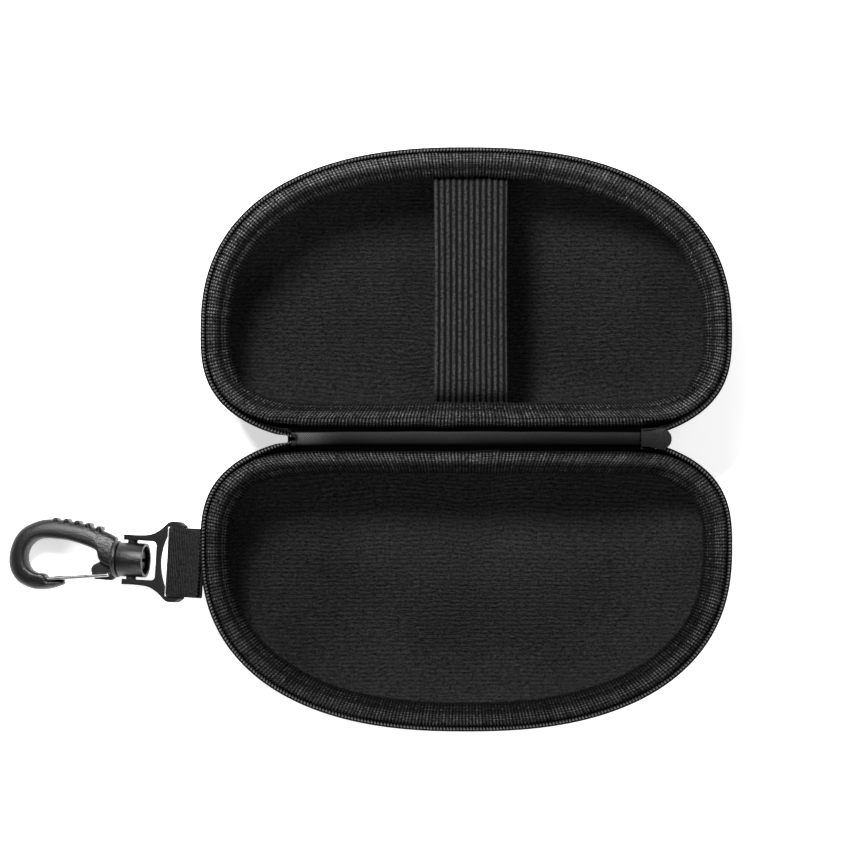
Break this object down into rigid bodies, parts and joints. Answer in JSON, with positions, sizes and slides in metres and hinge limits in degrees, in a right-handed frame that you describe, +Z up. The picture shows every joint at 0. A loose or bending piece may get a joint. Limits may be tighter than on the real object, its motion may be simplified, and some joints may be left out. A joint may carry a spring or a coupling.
{
  "type": "eyeglasses case",
  "caption": "Zipped hard-shell eyeglasses case, lying fully open, with an elastic band across the lid, a webbing loop and a swivel snap hook.",
  "frame": {"origin": "middle of the open case and its clip, on the surface that it lies on", "axes": "+X along the hinge, away from the clip; +Y from the lower half towards the lid; +Z up"},
  "size_m": [0.2192, 0.1758, 0.0308],
  "materials": {
    "cover_fabric": "fine woven polyester laminated to foam",
    "foam_core": "moulded closed-cell foam",
    "lining_knit": "ribbed knit",
    "binding_tape": "cross-ribbed grosgrain",
    "zip_tape": "woven tape",
    "zip_coil": "nylon coil",
    "elastic": "ribbed elastic webbing",
    "hinge_twill": "glossy twill",
    "slider_metal": "matte dark lacquer",
    "grip_rubber": "moulded soft plastic",
    "webbing": "woven polyester webbing",
    "clip_plastic": "fine-textured moulded acetal",
    "gate_steel": "drawn wire"
  },
  "bodies": {
    "lower": {"lower_cover": "cover_fabric", "lower_core": "foam_core", "lower_lining": "lining_knit", "lower_binding": "binding_tape", "lower_zip_tape": "zip_tape", "lower_zip_coil": "zip_coil", "lower_top_stop": "slider_metal"},
    "lid": {"lid_cover": "cover_fabric", "lid_core": "foam_core", "lid_lining": "lining_knit", "lid_binding": "binding_tape", "lid_zip_tape": "zip_tape", "lid_zip_coil": "zip_coil", "lid_top_stop": "slider_metal", "elastic_band": "elastic"},
    "spine": {"hinge_strip": "hinge_twill", "slider_body": "slider_metal", "bottom_stop": "slider_metal"},
    "pull": {"slider_pull": "slider_metal", "pull_grip": "grip_rubber"},
    "strap": {"webbing_loop": "webbing"},
    "frame": {"clip_frame": "clip_plastic"},
    "barrel": {"swivel_barrel": "clip_plastic"},
    "hook": {"hook_body": "clip_plastic"},
    "gate": {"wire_gate": "gate_steel"}
  },
  "joints": [
    {"name": "lid_hinge", "type": "hinge", "parent": "lower", "child": "lid", "pos_m": [0.02958, 0, 0.03], "axis": [1, 0, 0], "range_deg": [0, 179.9]},
    {"name": "spine_fold", "type": "hinge", "parent": "lower", "child": "spine", "pos_m": [0.02958, 0, 0.03], "axis": [1, 0, 0], "range_deg": [0, 90]},
    {"name": "pull_swing", "type": "hinge", "parent": "spine", "child": "pull", "pos_m": [0.08978, 0, 0.0258], "axis": [0, 1, 0], "range_deg": [-90, 75]},
    {"name": "strap_flex", "type": "hinge", "parent": "lower", "child": "strap", "pos_m": [-0.05242, -0.0373, 0.0262], "axis": [0.0523, 0.9986, 0], "range_deg": [-20, 45]},
    {"name": "frame_pivot", "type": "hinge", "parent": "strap", "child": "frame", "pos_m": [-0.05806, -0.037, 0.02111], "axis": [0.0523, 0.9986, 0], "range_deg": [-45, 45]},
    {"name": "barrel_pivot", "type": "hinge", "parent": "frame", "child": "barrel", "pos_m": [-0.07155, -0.0363, 0.01331], "axis": [0.0523, 0.9986, 0], "range_deg": [-60, 60]},
    {"name": "hook_swivel", "type": "hinge", "parent": "barrel", "child": "hook", "pos_m": [-0.07155, -0.0363, 0.01331], "axis": [-0.9633, 0.0505, -0.2637], "continuous": true},
    {"name": "gate_hinge", "type": "hinge", "parent": "hook", "child": "gate", "pos_m": [-0.07846, -0.04094, 0.0115], "axis": [0.2633, -0.0138, -0.9646], "range_deg": [0, 26], "stiffness_Nm_per_rad": 0.03, "springref_deg": -11.46}
  ],
  "couplings": [
    {"joint": "spine_fold", "follows": "lid_hinge", "ratio": 0.5}
  ]
}
